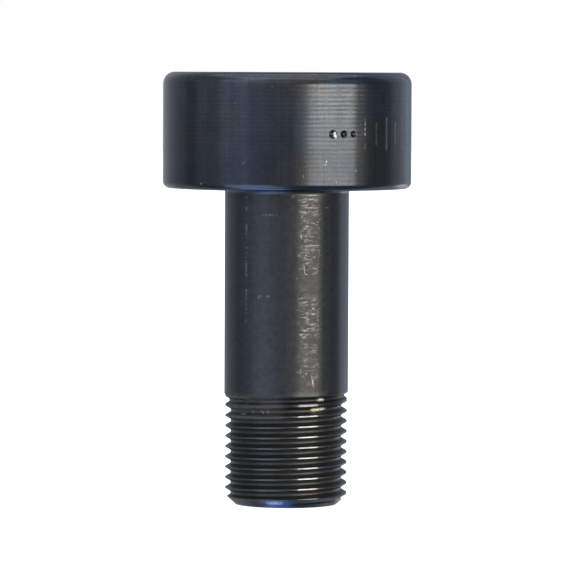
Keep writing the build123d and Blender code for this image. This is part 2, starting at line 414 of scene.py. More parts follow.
def blank_radius(height):
    """The stud's surface before the thread is cut: shank, step and end chamfer."""
    step = min(max(SHANK_END - height, 0), SHANK_R - CREST_R)
    chamfer = END_R + (height - STUD_END) * (CREST_R - END_R) / END_CHAMFER_RISE
    return smooth_min(SHANK_R - step, chamfer, 0.06)


def thread_rows(surface):
    """Rows of points that follow the helix, held between the stud's end and the run-out's top."""
    phases = [*ROW_PHASES, *(1 - p for p in reversed(ROW_PHASES[1:-1]))]
    start = GROOVE_AT_FRONT - 2 * PITCH
    pitches = math.ceil((THREAD_TOP - start) / PITCH) + 1
    columns = len(surface.turns)
    rows = []
    for whole in range(pitches):
        for phase in phases:
            row = []
            for c in range(columns):
                along = whole + phase + c / columns
                height = min(max(start + PITCH * along, STUD_END), THREAD_TOP)
                radius = blank_radius(height)
                for groove in (whole, whole + 1):
                    turns = groove - 2 + c / columns
                    if turns < FULL_TURNS + RUNOUT_SLOW[0] + RUNOUT_QUICK[0]:
                        away = (along - groove - c / columns) * PITCH
                        radius = smooth_min(radius, groove_radius(away, turns), 0.03)
                if height in (STUD_END, THREAD_TOP):
                    radius = END_R if height == STUD_END else SHANK_R
                row.append(surface.place(c, radius, height))
            rows.append(row)
    return rows, len(phases)


def join_thread(surface, rows, per_pitch):
    """Faces between the helical rows: the last column meets the first a pitch higher."""
    columns = len(surface.turns)
    for i in range(len(rows) - 1):
        for c in range(columns - 1):
            surface.face(rows[i][c], rows[i][c + 1], rows[i + 1][c + 1], rows[i + 1][c])
        if i + 1 + per_pitch < len(rows):
            ahead = i + per_pitch
            surface.face(rows[i][-1], rows[ahead][0], rows[ahead + 1][0], rows[i + 1][-1])


def make_stud():
    """The stud in one surface, from the channel in its head to the centre in its end."""
    surface = Surface(even_angles(STUD_COLUMNS))
    surface.join_all([*head_rings(surface), *shank_rings(surface), surface.ring(SHANK_R, THREAD_TOP)])
    rows, per_pitch = thread_rows(surface)
    join_thread(surface, rows, per_pitch)
    end = [
        (END_R, STUD_END, 0),
        (END_R - 0.1, STUD_END, 0),
        (CENTRE_R, STUD_END, 0.08),
        (CENTRE_TIP_R, STUD_END + CENTRE_RISE, 0.08),
        (CENTRE_TIP_R, STUD_END + CENTRE_DEPTH, 0.08),
        (0.1, STUD_END + CENTRE_DEPTH, 0),
    ]
    rings = [surface.ring(r, z) for r, z in rounded(end)]
    surface.join_all([*rings, surface.pole(STUD_END + CENTRE_DEPTH)])
    return surface.build("threaded_stud", merge=0.004)


# ------------ the roller

def near(centre, reach, step):
    """Evenly spaced numbers round a centre."""
    count = round(reach / step)
    return [centre + step * i for i in range(-count, count + 1)]


def filled(fine, least, coarse, clear):
    """Fine numbers at least that far apart, and the coarse ones that keep clear of them."""
    kept = []
    for value in sorted(fine):
        if not kept or value - kept[-1] >= least:
            kept.append(value)
    return sorted([*kept, *(c for c in coarse if all(abs(c - k) > clear for k in kept))])


def tick_angles():
    """Each tick's angle, with its height."""
    return [(FIRST_TICK + TICK_STEP * i, height) for i, height in enumerate(TICK_HEIGHTS)]


def roller_angles():
    """Column angles: close together across the marks, and even elsewhere."""
    degrees = math.degrees(1 / TREAD_R)
    fine = []
    for angle, radius, _ in DIMPLES:
        fine += near(angle, (radius + 0.18) * degrees, 0.055 * degrees)
    for angle, _ in tick_angles():
        fine += near(angle, 0.27 * degrees, 0.03 * degrees)
    return filled(fine, 0.025 * degrees, even_angles(240), 0.6)


def tread_heights():
    """Row heights up the tread: close together across the marks."""
    fine = near(MARK_Z, 0.82, 0.055)
    for height in set(TICK_HEIGHTS):
        fine += near(MARK_Z + height / 2, 0.16, 0.04)
        fine += near(MARK_Z - height / 2, 0.16, 0.04)
    low, high = RING_LOW + LOWER_EDGE_R, RING_HIGH - UPPER_EDGE_R
    spans = 24
    coarse = [low + (high - low) * i / spans for i in range(1, spans)]
    return filled(fine, 0.03, coarse, 0.15)


def punched(distance, radius, depth):
    """A round dimple's depth at that distance from its centre."""
    if distance >= radius:
        return 0.0
    ball = (radius**2 + depth**2) / (2 * depth)
    return math.sqrt(ball**2 - distance**2) - (ball - depth)


def stroked(across, along, height):
    """A tick's depth: a flat floor with eased sides and ends."""
    inside = min(TICK_WIDTH / 2 - abs(across), height / 2 - abs(along))
    return TICK_DEPTH * ease(inside / 0.07)


def mark_depth(angle, z):
    """How deep the roller's tread is cut at that angle and height."""
    depth = 0.0
    up = z - MARK_Z
    for centre, radius, deep in DIMPLES:
        arc = math.radians(angle - centre) * TREAD_R
        depth += punched(math.hypot(arc, up), radius, deep)
    for centre, height in tick_angles():
        arc = math.radians(angle - centre) * TREAD_R
        depth += stroked(arc, up, height)
    return depth


def make_roller():
    """The outer ring: tread with its marks, rounded edges, counterbores and raceway."""
    angles = roller_angles()
    surface = Surface(angles)
    lead = 0.3
    corners = [
        (TREAD_R, RING_HIGH, UPPER_EDGE_R),
        (COUNTERBORE_R + lead, RING_HIGH, 0.05),
        (COUNTERBORE_R, RING_HIGH - lead, 0.05),
        (COUNTERBORE_R, SHOULDER_HIGH, 0.1),
        (OUTER_RACEWAY_R, SHOULDER_HIGH, 0.1),
        (OUTER_RACEWAY_R, SHOULDER_LOW, 0.1),
        (COUNTERBORE_R, SHOULDER_LOW, 0.1),
        (COUNTERBORE_R, RING_LOW + lead, 0.05),
        (COUNTERBORE_R + lead, RING_LOW, 0.05),
        (TREAD_R, RING_LOW, LOWER_EDGE_R),
    ]
    rings = []
    for z in tread_heights():
        rings.append(surface.ring([TREAD_R - mark_depth(a, z) for a in angles], z))
    start = (TREAD_R, RING_HIGH - UPPER_EDGE_R - 0.2, 0)
    end = (TREAD_R, RING_LOW + LOWER_EDGE_R + 0.2, 0)
    rings += [surface.ring(r, z) for r, z in rounded([start, *corners, end], steps=9)]
    surface.join_all(rings, closed=True)
    return surface.build("roller")


# ------------ the smaller pieces

def make_end_plate():
    """The pressed-on end plate, with a chamfer round its mounting face."""
    edge = 0.4
    return lathe("mounting_plate", [
        (SEAT_R, PLATE_FACE, 0.05),
        (FLANGE_R - edge, PLATE_FACE, 0.1),
        (FLANGE_R, PLATE_FACE + edge, 0.1),
        (FLANGE_R, PLATE_TOP, 0.08),
        (SEAT_R, PLATE_TOP, 0.05),
    ])


def seal_corners(face, lip, shoulder):
    """A thrust washer with a lip; face, lip and shoulder are heights, in either order."""
    up = 1 if shoulder > lip else -1
    inner_r = INNER_RACEWAY_R + 0.15
    lip_r = FLANGE_R + 0.08
    return [
        (inner_r, face, 0.06),
        (lip_r, face, 0.05),
        (lip_r, lip + up * 0.2, 0.05),
        (lip_r + 0.2, lip, 0.04),
        (SEAL_R, lip, 0.04),
        (SEAL_R, shoulder, 0.06),
        (inner_r, shoulder, 0.06),
    ]


def make_cage():
    """The window cage: cells round the wall, left out where there is a window."""
    low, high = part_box(NEEDLES[0])
    pitch_r = (low.x + high.x) / 2 / MM
    window = (high.y - low.y) / 2 / MM + 0.08
    top, bottom = high.z / MM + 0.07, low.z / MM - 0.07
    inner_r = 2 * pitch_r - CAGE_R + 0.1
    heights = [CAGE_LOW, bottom, (bottom + top) / 2, top, CAGE_HIGH]
    across = 4  # cells across a window, and across a bar
    cells = 2 * across
    columns = len(NEEDLES) * cells
    points, faces, numbers = [], [], {}

    def place(column, row, radius):
        sector, part = divmod(column, cells)
        half = math.asin(window / radius)
        bar = 2 * (math.pi / len(NEEDLES) - half)
        if part <= across:
            turn = (2 * part / across - 1) * half
        else:
            turn = half + bar * (part - across) / across
        turn += 2 * math.pi * sector / len(NEEDLES)
        return radius * math.cos(turn), radius * math.sin(turn), heights[row]

    def number(column, row, radius):
        key = (column % columns, row, radius)
        if key not in numbers:
            numbers[key] = len(points)
            points.append(place(*key))
        return numbers[key]

    def solid(column, row):
        in_wall = 0 <= row < len(heights) - 1
        return in_wall and (row in (0, len(heights) - 2) or column % cells >= across)

    for c in range(columns):
        for r in range(len(heights) - 1):
            if not solid(c, r):
                continue
            corners = ((c, r), (c + 1, r), (c + 1, r + 1), (c, r + 1))
            for radius in (inner_r, CAGE_R):
                faces.append([number(*corner, radius) for corner in corners])
            for i, beside in enumerate(((c, r - 1), (c + 1, r), (c, r + 1), (c - 1, r))):
                if not solid(*beside):
                    a, b = corners[i], corners[(i + 1) % 4]
                    wall = ((*a, inner_r), (*b, inner_r), (*b, CAGE_R), (*a, CAGE_R))
                    faces.append([number(*corner) for corner in wall])
    piece = meshed("window_cage", points, faces)
    bevel = piece.modifiers.new("edges", "BEVEL")
    bevel.width = 0.1 * MM
    bevel.segments = 2
    bevel.limit_method = "ANGLE"
    bevel.angle_limit = math.radians(40)
    return piece


def make_needle(node):
    """A needle roller with rounded ends and a slight relief towards them."""
    low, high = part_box(node)
    centre = (low + high) / 2
    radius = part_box(NEEDLES[0])[1].y / MM  # the first needle stands on the X axis
    half = (high.z - low.z) / 2 / MM
    edge = 0.3
    relief, relief_run = 0.005, 1.2
    piece = lathe("roller_" + node, [
        (0, -half, 0),
        (radius - edge, -half, 0.05),
        (radius - relief, -half + edge, edge),
        (radius, -half + relief_run, 1.0),
        (radius, half - relief_run, 1.0),
        (radius - relief, half - edge, edge),
        (radius - edge, half, 0.05),
        (0, half, 0),
    ], columns=36, closed=False)
    for vertex in piece.data.vertices:
        vertex.co += centre
    return piece


def make_fitting():
    """The flush grease fitting: dished mouth, seat, chamber and crimped foot."""
    seat_r = 0.75
    seat_z = SOCKET_FLOOR - 1.0
    chamber_r = 1.15
    crimp_z = FITTING_LOW + 0.4
    return lathe("fitting_body", [
        (seat_r, seat_z, 0.03),
        (seat_r, SOCKET_FLOOR - 0.6, 0.1),
        (1.3, FITTING_HIGH, 0.06),
        (FITTING_R - 0.3, FITTING_HIGH, 0.06),
        (FITTING_R, FITTING_HIGH - 0.3, 0.06),
        (FITTING_R, FITTING_LOW, 0.05),
        (seat_r, FITTING_LOW, 0.03),
        (seat_r, crimp_z, 0.03),
        (chamber_r, crimp_z, 0.05),
        (chamber_r, seat_z, 0.05),
    ], columns=72)


def make_ball():
    """The fitting's check ball."""
    surface = Surface(even_angles(48))
    centre = (BALL_LOW + BALL_HIGH) / 2
    steps = 24
    rings = [surface.pole(BALL_LOW)]
    for step in range(1, steps):
        bend = math.pi * step / steps
        rings.append(surface.ring(BALL_R * math.sin(bend), centre - BALL_R * math.cos(bend)))
    surface.join_all([*rings, surface.pole(BALL_HIGH)])
    return surface.build("check_ball_polished")


def make_spring():
    """The fitting's spring: round wire along a helix, capped at both ends."""
    wire_r = 0.11
    coil_r = SPRING_OUTER_R - wire_r
    turns, per_turn, sides = 3, 40, 12
    low, high = SPRING_LOW + wire_r, SPRING_HIGH - wire_r
    points, faces = [], []
    steps = turns * per_turn
    for step in range(steps + 1):
        turn = 2 * math.pi * step / per_turn
        height = low + (high - low) * step / steps
        for side in range(sides):
            bend = 2 * math.pi * side / sides
            r = coil_r + wire_r * math.cos(bend)
            z = height + wire_r * math.sin(bend)
            points.append((r * math.cos(turn), r * math.sin(turn), z))
    for step in range(steps):
        for side in range(sides):
            a = step * sides + side
            b = step * sides + (side + 1) % sides
            faces.append((a, b, b + sides, a + sides))
    faces.append(tuple(range(sides)))
    faces.append(tuple(range(steps * sides, (steps + 1) * sides)))
    return meshed("check_spring", points, faces)


# ------------ materials

class Shader:
    """A material's node tree, with short calls for the nodes that are used most."""

    FACE_RATE = 1.31  # the profile runs this many times faster across a face than up a wall

    def __init__(self, name, radius=1.0):
        self.material = bpy.data.materials.new(name)
        self.material.use_nodes = True
        self.tree = self.material.node_tree
        self.tree.nodes.clear()
        place = self.add("ShaderNodeTexCoord").outputs["Object"]
        self.place = self.vector_math("SCALE", {0: place, "Scale": 1 / MM})[0]
        self.x, self.y, self.z = self.add("ShaderNodeSeparateXYZ", inputs={0: self.place}).outputs
        level = self.vector(self.x, self.y, 0.0)
        self.radius = self.vector_math("LENGTH", {0: level})["Value"]
        self.turn = self.calc("ARCTAN2", self.x, self.calc("MULTIPLY", self.y, -1.0))
        self.profile = self.calc("MULTIPLY_ADD", self.radius, self.FACE_RATE, self.z)
        self.flat_radius = radius
        self.flat = self.vector(self.calc("MULTIPLY", self.turn, radius), self.z, 0.0)

    def add(self, kind, settings=None, inputs=None):
        """A node with those settings and inputs; an input is a value or another node's output."""
        node = self.tree.nodes.new(kind)
        for name, value in (settings or {}).items():
            setattr(node, name, value)
        for name, value in (inputs or {}).items():
            if isinstance(value, bpy.types.NodeSocket):
                self.tree.links.new(value, node.inputs[name])
            else:
                node.inputs[name].default_value = value
        return node

    def calc(self, operation, a, b=0.0, c=0.0):
        """One step of arithmetic."""
        inputs = {0: a, 1: b, 2: c}
        return self.add("ShaderNodeMath", {"operation": operation}, inputs).outputs[0]

    def vector_math(self, operation, inputs):
        """The outputs of one step of arithmetic on vectors."""
        return self.add("ShaderNodeVectorMath", {"operation": operation}, inputs).outputs

    def less(self, value):
        """1 minus a number."""
        return self.calc("SUBTRACT", 1.0, value)

    def times(self, first, *others):
        """Several numbers multiplied."""
        for other in others:
            first = self.calc("MULTIPLY", first, other)
        return first

    def most(self, first, *others):
        """The largest of several numbers."""
        for other in others:
            first = self.calc("MAXIMUM", first, other)
        return first

    def vector(self, x, y, z):
        """A vector from three numbers."""
        return self.add("ShaderNodeCombineXYZ", inputs={0: x, 1: y, 2: z}).outputs[0]

    def noise(self, vector, scale, detail=2.0, rough=0.5, twist=0.0):
        """Noise from 0 to 1, with scale in cycles for each unit of the vector."""
        inputs = {"Vector": vector, "Scale": scale, "Detail": detail, "Roughness": rough}
        inputs["Distortion"] = twist
        return self.add("ShaderNodeTexNoise", inputs=inputs).outputs["Fac"]

    def streaks(self, long, wide, detail=2.0, rough=0.5, twist=0.0):
        """Noise in features that long round the axis and that wide across, on walls and faces alike."""
        vector = self.vector(self.x, self.y, self.profile)
        sized = self.vector_math("DIVIDE", {0: vector, 1: (long, long, wide)})[0]
        return self.noise(sized, 1.0, detail, rough, twist)

    def span(self, value, low, high, to_low=0.0, to_high=1.0, smooth=True):
        """The value carried from one range to another, and held at the ends."""
        kind = "SMOOTHSTEP" if smooth else "LINEAR"
        inputs = {"Value": value, "From Min": low, "From Max": high}
        inputs.update({"To Min": to_low, "To Max": to_high})
        return self.add("ShaderNodeMapRange", {"interpolation_type": kind}, inputs).outputs[0]

    def where(self, mask, inside, outside=1.0):
        """One number where the mask is 1 and another where it is 0."""
        return self.span(mask, 0.0, 1.0, outside, inside)

    def between(self, value, low, high, soft):
        """1 between two numbers, fading to 0 over a soft edge."""
        up = self.span(value, low - soft / 2, low + soft / 2)
        return self.times(up, self.span(value, high - soft / 2, high + soft / 2, 1.0, 0.0))

    def sector(self, first, last, soft):
        """1 between two angles from the front, in degrees."""
        return self.between(self.turn, math.radians(first), math.radians(last), math.radians(soft))

    def spot(self, mark):
        """1 within an ellipse on the surface, fading at its edge.

        The mark is its angle, height, half-length, half-height and tilt.
        """
        angle, height, long, high, tilt = mark
        centre = (math.radians(angle) * self.flat_radius, height, 0)
        away = self.vector_math("SUBTRACT", {0: self.flat, 1: centre})[0]
        inputs = {"Vector": away, "Angle": math.radians(-tilt)}
        turned = self.add("ShaderNodeVectorRotate", {"rotation_type": "Z_AXIS"}, inputs).outputs[0]
        sized = self.vector_math("DIVIDE", {0: turned, 1: (long, high, 1)})[0]
        distance = self.vector_math("LENGTH", {0: sized})["Value"]
        return self.span(distance, 0.45, 1.15, 1.0, 0.0)

    def spots(self, marks):
        """1 within any of the marks."""
        return self.most(*(self.spot(mark) for mark in marks))

    def mix(self, share, a, b, blend="MIX"):
        """Two colours mixed."""
        settings = {"data_type": "RGBA", "blend_type": blend}
        node = self.add("ShaderNodeMix", settings, {"Factor": share})
        for index, value in ((6, a), (7, b)):
            if isinstance(value, bpy.types.NodeSocket):
                self.tree.links.new(value, node.inputs[index])
            else:
                node.inputs[index].default_value = (*value, 1.0)
        return node.outputs[2]

    def shade(self, colour, amount):
        """A colour made lighter or darker."""
        return self.mix(1.0, colour, self.vector(amount, amount, amount), "MULTIPLY")

    def bump(self, height, depth, below=None):
        """A bump of that depth in millimetres, on top of another."""
        inputs = {"Height": height, "Distance": depth * MM, "Strength": 1.0}
        if below is not None:
            inputs["Normal"] = below
        return self.add("ShaderNodeBump", inputs=inputs).outputs[0]

    def finish(self, colour, roughness, normal, metallic=1.0):
        """The Principled shader and the output."""
        inputs = {"Base Color": colour, "Roughness": roughness, "Metallic": metallic}
        inputs["Normal"] = normal
        shader = self.add("ShaderNodeBsdfPrincipled", inputs=inputs)
        self.add("ShaderNodeOutputMaterial", inputs={"Surface": shader.outputs[0]})
        return self.material


OXIDE = (0.050, 0.055, 0.063)
OXIDE_BROWN = (0.056, 0.054, 0.052)
OXIDE_BLUE = (0.046, 0.053, 0.066)
GROUND_OXIDE = (0.057, 0.057, 0.058)
# Painted shade: the darker colour inside the dimples
PAINTED_DIMPLE_SHADE = (0.03, 0.032, 0.037)
# Painted blue reflection on the roller's lower edge and at the stud's fillet
BLUE_REFLECTION = (0.054, 0.075, 0.122)
# Painted blue reflection on the end chamfer
END_BLUE_REFLECTION = (0.045, 0.085, 0.22)
# Painted highlight on the end chamfer
END_GLINT = (0.24, 0.27, 0.34)
OILY = (0.047, 0.043, 0.036)
# Darker colour over the upper grooves towards the left
UPPER_GROOVE_TONE = (0.030, 0.027, 0.023)
SCUFF = (0.17, 0.168, 0.16)
WORN = (0.20, 0.20, 0.195)
# Worn crests, partly painted highlight: brightest where the key light's highlight falls
CREST = (0.345, 0.345, 0.355)
BARE = (0.42, 0.42, 0.41)
# Painted highlight beside the first tick
TICK_GLINT = (0.24, 0.25, 0.26)
# Painted highlight in the first dimple
DIMPLE_GLINT = (0.85, 0.85, 0.87)
CREAM = (0.62, 0.56, 0.40)
POLYMER = ((0.012, 0.012, 0.013), (0.03, 0.03, 0.032))
SHEET_STEEL = ((0.36, 0.35, 0.33), (0.56, 0.55, 0.52))
NEEDLE_STEEL = ((0.56, 0.56, 0.56), (0.70, 0.70, 0.69))
SPRING_STEEL = ((0.40, 0.39, 0.37), (0.55, 0.55, 0.55))
ZINC = ((0.52, 0.47, 0.34), (0.62, 0.60, 0.52))


def oxide(s):
    """Blue-black oxide with faint wide clouds and a fine grain."""
    cloud = s.noise(s.place, 0.09, 2.0, 0.5)
    colour = s.mix(s.span(cloud, 0.50, 0.70), OXIDE, OXIDE_BROWN)
    colour = s.mix(s.span(cloud, 0.48, 0.32), colour, OXIDE_BLUE)
    patch = s.span(s.noise(s.place, 0.35, 4.0, 0.6), 0.3, 0.7, 0.90, 1.10, smooth=False)
    grain = s.span(s.noise(s.place, 3.6, 3.0, 0.65), 0.3, 0.7, 0.84, 1.16, smooth=False)
    return s.shade(colour, s.times(patch, grain))


def feed_lines(s):
    """The wave of the turning lines, and how it lightens and darkens the tread."""
    wander = s.streaks(9.0, 4.0, 2.0)
    along = s.calc("ADD", s.times(s.profile, 2 * math.pi / FEED), s.times(wander, 4.0))
    wave = s.calc("SINE", along)
    # Partly painted highlight: the real turning lines, drawn strongest in the sector where the key
    # light's highlight falls
    clear = s.where(s.sector(8, 37, 6), 1.0, 0.28)
    uneven = s.span(s.streaks(1.3, 1.2), 0.3, 0.7, 0.4, 1.5)
    strength = s.times(s.span(s.z, 2.0, 13.5, 0.08, 0.23), uneven, clear)
    return wave, s.calc("MULTIPLY_ADD", wave, strength, 1.0)


def tread_marks(s, colour):
    """The tread's colour with painted shade in its dimples and ticks, and painted glints beside the
    first of each.
    """
    holes = s.spots([(angle, MARK_Z, radius, radius, 0) for angle, radius, _ in DIMPLES])
    # Painted shade inside the dimples
    colour = s.mix(holes, colour, PAINTED_DIMPLE_SHADE)
    ticks = s.spots([(a, MARK_Z, TICK_WIDTH, height / 2 + 0.2, 0) for a, height in tick_angles()])
    # Painted shade in the ticks
    colour = s.shade(colour, s.where(ticks, 0.75))
    # Painted highlight beside the first tick, broken into dots
    tick_highlight = s.spots([
        (FIRST_TICK + 0.5, MARK_Z, 0.13, 2.5, 0),
        (FIRST_TICK + 0.9, MARK_Z - 0.75, 0.16, 0.22, 0),
    ])
    colour = s.mix(s.times(tick_highlight, s.span(s.streaks(2.0, 0.45), 0.42, 0.58)), colour, TICK_GLINT)
    first_dimple = DIMPLES[0][0]
    # Painted highlight: a near-white crescent in the first dimple
    return s.mix(s.spot((first_dimple + 1.15, MARK_Z - 0.1, 0.22, 0.5, 10)), colour, DIMPLE_GLINT)


def roller_steel():
    """Turned and blackened ring: regular feed lines, clearest on one side of the tread where the key
    highlight falls, and nicks; with painted light on its upper part and a painted blue reflection on its
    lower edge.
    """
    s = Shader("roller_black_oxide", TREAD_R)
    wave, lines = feed_lines(s)
    drift = s.span(s.streaks(30.0, 0.45, 3.0), 0.3, 0.7, 0.96, 1.04, smooth=False)
    upright = s.noise(s.vector(s.x, s.y, s.times(s.z, 0.02)), 1.3, 2.0)
    upright = s.span(upright, 0.3, 0.7, 0.93, 1.07)
    # Painted light: the tread darker low down and lighter towards its top
    painted_top_light = s.span(s.z, 2.0, 15.0, 0.94, 1.12, smooth=False)
    colour = s.shade(oxide(s), s.times(lines, drift, upright, painted_top_light))
    nicks = s.most(s.spots(TREAD_NICKS), s.span(s.noise(s.place, 1.7, 1.0), 0.80, 0.83))
    colour = s.mix(s.times(nicks, 0.35), colour, BARE)
    low_edge = s.times(s.span(s.z, RING_LOW + 0.9, RING_LOW + 0.3), s.sector(-28, 2, 18))
    low_edge = s.times(low_edge, s.span(s.radius, TREAD_R - 2.0, TREAD_R - 0.9))
    # Painted blue reflection on the lower edge, front-left
    painted_blue = s.times(low_edge, s.span(s.streaks(1.5, 0.5, 3.0), 0.30, 0.55))
    colour = tread_marks(s, s.mix(painted_blue, colour, BLUE_REFLECTION))
    roughness = s.span(drift, 0.96, 1.04, 0.23, 0.19, smooth=False)
    normal = s.bump(s.streaks(9.0, 0.13, 2.0), 0.0012, s.bump(wave, 0.0009))
    return s.finish(colour, roughness, normal)


def shank_strip(s):
    """The scuffed strip along the shank, and the short bright flecks in it, round the axis; and painted
    shade over the band where the key light's highlight falls.
    """
    ragged = s.span(s.streaks(0.9, 0.5, 3.0), 0.2, 0.8, -0.07, 0.07, smooth=False)
    edge = s.calc("ADD", s.turn, ragged)
    strip = s.between(edge, math.radians(11.5), math.radians(31.5), math.radians(4))
    upper = s.times(s.between(s.z, -12.5, -0.6, 1.6), 0.72)
    lower = s.times(s.between(s.z, -22.2, -16.2, 2.0), 1.15)
    last = s.times(s.between(s.z, -29.5, -23.0, 2.0), 0.45)
    middle = s.less(s.times(s.sector(20.5, 23.5, 2.5), 0.55))
    where = s.times(strip, s.most(upper, lower, last, 0.15), middle)
    flat = s.span(s.streaks(1.2, 0.30, 3.0, 0.62, 0.7), 0.47, 0.72)
    steep = s.times(s.span(s.streaks(0.3, 1.0, 1.5), 0.56, 0.75), 0.6)
    clump = s.span(s.streaks(1.2, 0.9, 1.0), 0.3, 0.65, 0.35, 1.1)
    # Painted shade over the band where the key light's highlight falls, weaker near the thread
    painted_band_shade = s.times(s.sector(5, 40, 12), s.span(s.z, 0.0, -1.5), s.span(s.z, -30.2, -31.0, 1.0, 0.4))
    return painted_band_shade, s.times(where, clump, s.most(flat, steep))


def shank_finish(s, colour, below, plain):
    """The stud's colour with the wear of its shank, painted shade and a painted lighter band on it, a
    painted blue reflection at its fillet, and where the flecks are.
    """
    painted_band_shade, flecks = shank_strip(s)
    flecks = s.times(flecks, plain)
    colour = s.mix(s.times(below, s.where(s.sector(-14, 60, 20), 1.0, 0.65)), colour, GROUND_OXIDE)
    blotch = s.span(s.streaks(0.8, 0.8, 3.0, 0.6), 0.3, 0.7, 0.86, 1.14, smooth=False)
    # Painted shade over the key light's band
    colour = s.shade(colour, s.times(blotch, s.where(s.times(painted_band_shade, plain), 0.58)))
    # Painted reflection: a lighter band down the shank's right side
    colour = s.shade(colour, s.where(s.times(plain, s.sector(57.5, 66, 5)), 1.38))
    colour = s.mix(s.times(flecks, 0.85), colour, WORN)
    bright = s.times(s.spots(SHANK_BRIGHT), 0.4, s.span(s.streaks(0.3, 0.12), 0.35, 0.6))
    colour = s.mix(bright, colour, BARE)
    dust = s.times(s.spots(SHANK_FAINT), s.span(s.streaks(0.25, 0.25), 0.35, 0.6))
    dots = s.times(s.sector(-41.2, -39.0, 1.4), s.between(s.z, -20, -0.8, 2.0), plain)
    dots = s.times(dots, s.span(s.streaks(2.0, 0.6, 2.0, 0.7), 0.46, 0.62))
    colour = s.mix(s.times(s.most(dust, dots), 0.6), colour, WORN)
    fillet = s.times(s.between(s.z, -0.55, 0.3, 0.25), s.sector(-44, -6, 14))
    fillet = s.times(fillet, s.span(s.radius, 10.6, 10.2))
    # Painted blue reflection at the fillet under the plate, front-left
    painted_blue = s.times(fillet, s.span(s.streaks(1.2, 0.5, 3.0), 0.38, 0.6))
    return s.mix(painted_blue, colour, BLUE_REFLECTION), flecks


def thread_finish(s, colour, threaded, mottle):
    """The colour with oily roots and painted shade on their left, crests worn bright and painted
    brightest where the key highlight falls, darker about the step, painted shade, a painted blue
    reflection and a painted highlight on the end chamfer, and where the roots are.
    """
    ended = s.span(s.z, STUD_END + 1.25, STUD_END + 1.05)
    depth = s.span(s.radius, CREST_R - 0.12, CREST_R - 0.35)
    step = s.between(s.z, SHANK_END - 0.22, SHANK_END + 0.02, 0.08)
    root = s.most(s.times(threaded, depth, s.less(ended)), step)
    colour = s.mix(s.times(root, s.span(mottle, 0.3, 0.6, 0.4, 1.0)), colour, OILY)
    # Painted shade on the roots towards the left
    colour = s.shade(colour, s.where(s.times(root, s.sector(-85, -2, 16)), 0.76))
    crest = s.times(threaded, s.span(s.radius, CREST_R - 0.075, CREST_R - 0.02))
    # Partly painted highlight: crests worn bright, brightest in the sector where the key light's
    # highlight falls
    crest = s.times(crest, s.less(step), s.where(s.sector(11.5, 31, 4), 1.0, 0.10))
    colour = s.mix(s.times(s.span(mottle, 0.32, 0.62, 0.45, 1.0), crest), colour, CREST)
    # Darker around the step between shank and thread
    darker_near_step = s.between(s.z, SHANK_END - 1.9, SHANK_END + 0.15, 0.25)
    colour = s.shade(colour, s.where(darker_near_step, 0.5))
    chamfer = s.times(ended, depth)
    # Painted shade on the downward-facing end chamfer
    colour = s.shade(colour, s.where(chamfer, 0.55))
    patches = s.times(s.span(s.streaks(1.6, 0.5, 3.0), 0.34, 0.58), s.span(s.radius, END_R - 0.5, END_R))
    # Painted blue reflection on the end chamfer, front-left
    colour = s.mix(s.times(chamfer, s.sector(-27, 8, 12), patches), colour, END_BLUE_REFLECTION)
    # Painted highlight on the end chamfer
    glint = s.times(s.between(s.z, STUD_END + 0.6, STUD_END + 1.1, 0.35), s.sector(-19, -4, 6))
    glint = s.times(glint, s.span(s.streaks(0.4, 2.0), 0.35, 0.55, 0.35, 1.0))
    return s.mix(glint, colour, END_GLINT), root


def upper_thread_marks(s, colour, below):
    """The colour darker over the upper grooves towards the left, with scuffs and pale debris in the
    upper grooves, and where these are.
    """
    # Darker over the upper grooves towards the left
    darker_upper_grooves = s.times(s.between(s.z, SHANK_END - 3.6, SHANK_END + 0.1, 1.2), s.sector(-80, -4, 16), below)
    darker_upper_grooves = s.times(darker_upper_grooves, s.span(s.streaks(1.6, 1.1, 3.0, 0.6), 0.35, 0.6, 0.35, 0.9))
    colour = s.mix(darker_upper_grooves, colour, UPPER_GROOVE_TONE)
    scuffed = s.times(s.spots(THREAD_SCUFFS), s.span(s.streaks(0.3, 0.2), 0.32, 0.55))
    colour = s.mix(scuffed, colour, SCUFF)
    debris = s.times(s.spots(THREAD_DEBRIS), s.span(s.streaks(0.35, 0.14, 2.0), 0.36, 0.46))
    return s.mix(debris, colour, CREAM), debris, s.most(debris, darker_upper_grooves, scuffed)


def stud_steel():
    """Ground, blackened and used stud: scuffed shank, oily thread roots and bright crests, with painted
    shade, highlights and blue reflections.
    """
    s = Shader("stud_black_oxide", SHANK_R)
    threaded = s.span(s.z, SHANK_END - 0.1, SHANK_END + 0.1, 1.0, 0.0)
    below = s.span(s.z, 0.3, 0.1)
    plain = s.times(s.less(threaded), below)
    headed = s.span(s.z, HEAD_FACE - 1.5, HEAD_FACE - 1.0)
    rings = s.streaks(12.0, 0.35, 3.0, 0.6)
    mottle = s.streaks(1.4, 0.35, 3.0, 0.6)
    colour = s.shade(oxide(s), s.span(rings, 0.3, 0.7, 0.90, 1.10, smooth=False))
    colour, flecks = shank_finish(s, colour, below, plain)
    colour, root = thread_finish(s, colour, threaded, mottle)
    colour, debris, matte_marks = upper_thread_marks(s, colour, below)
    metallic = s.times(s.less(matte_marks), s.where(root, 0.68))
    rougher = s.times(s.most(matte_marks, s.times(root, 0.3)), 0.3)
    roughness = s.calc("ADD", s.where(plain, 0.32, 0.29), rougher)
    normal = s.bump(s.streaks(6.0, 0.07, 2.0), 0.0009)
    normal = s.bump(s.times(rings, headed), 0.006, normal)
    normal = s.bump(flecks, 0.004, normal)
    normal = s.bump(s.calc("ADD", s.times(mottle, root), debris), 0.02, normal)
    return s.finish(colour, roughness, normal, metallic)


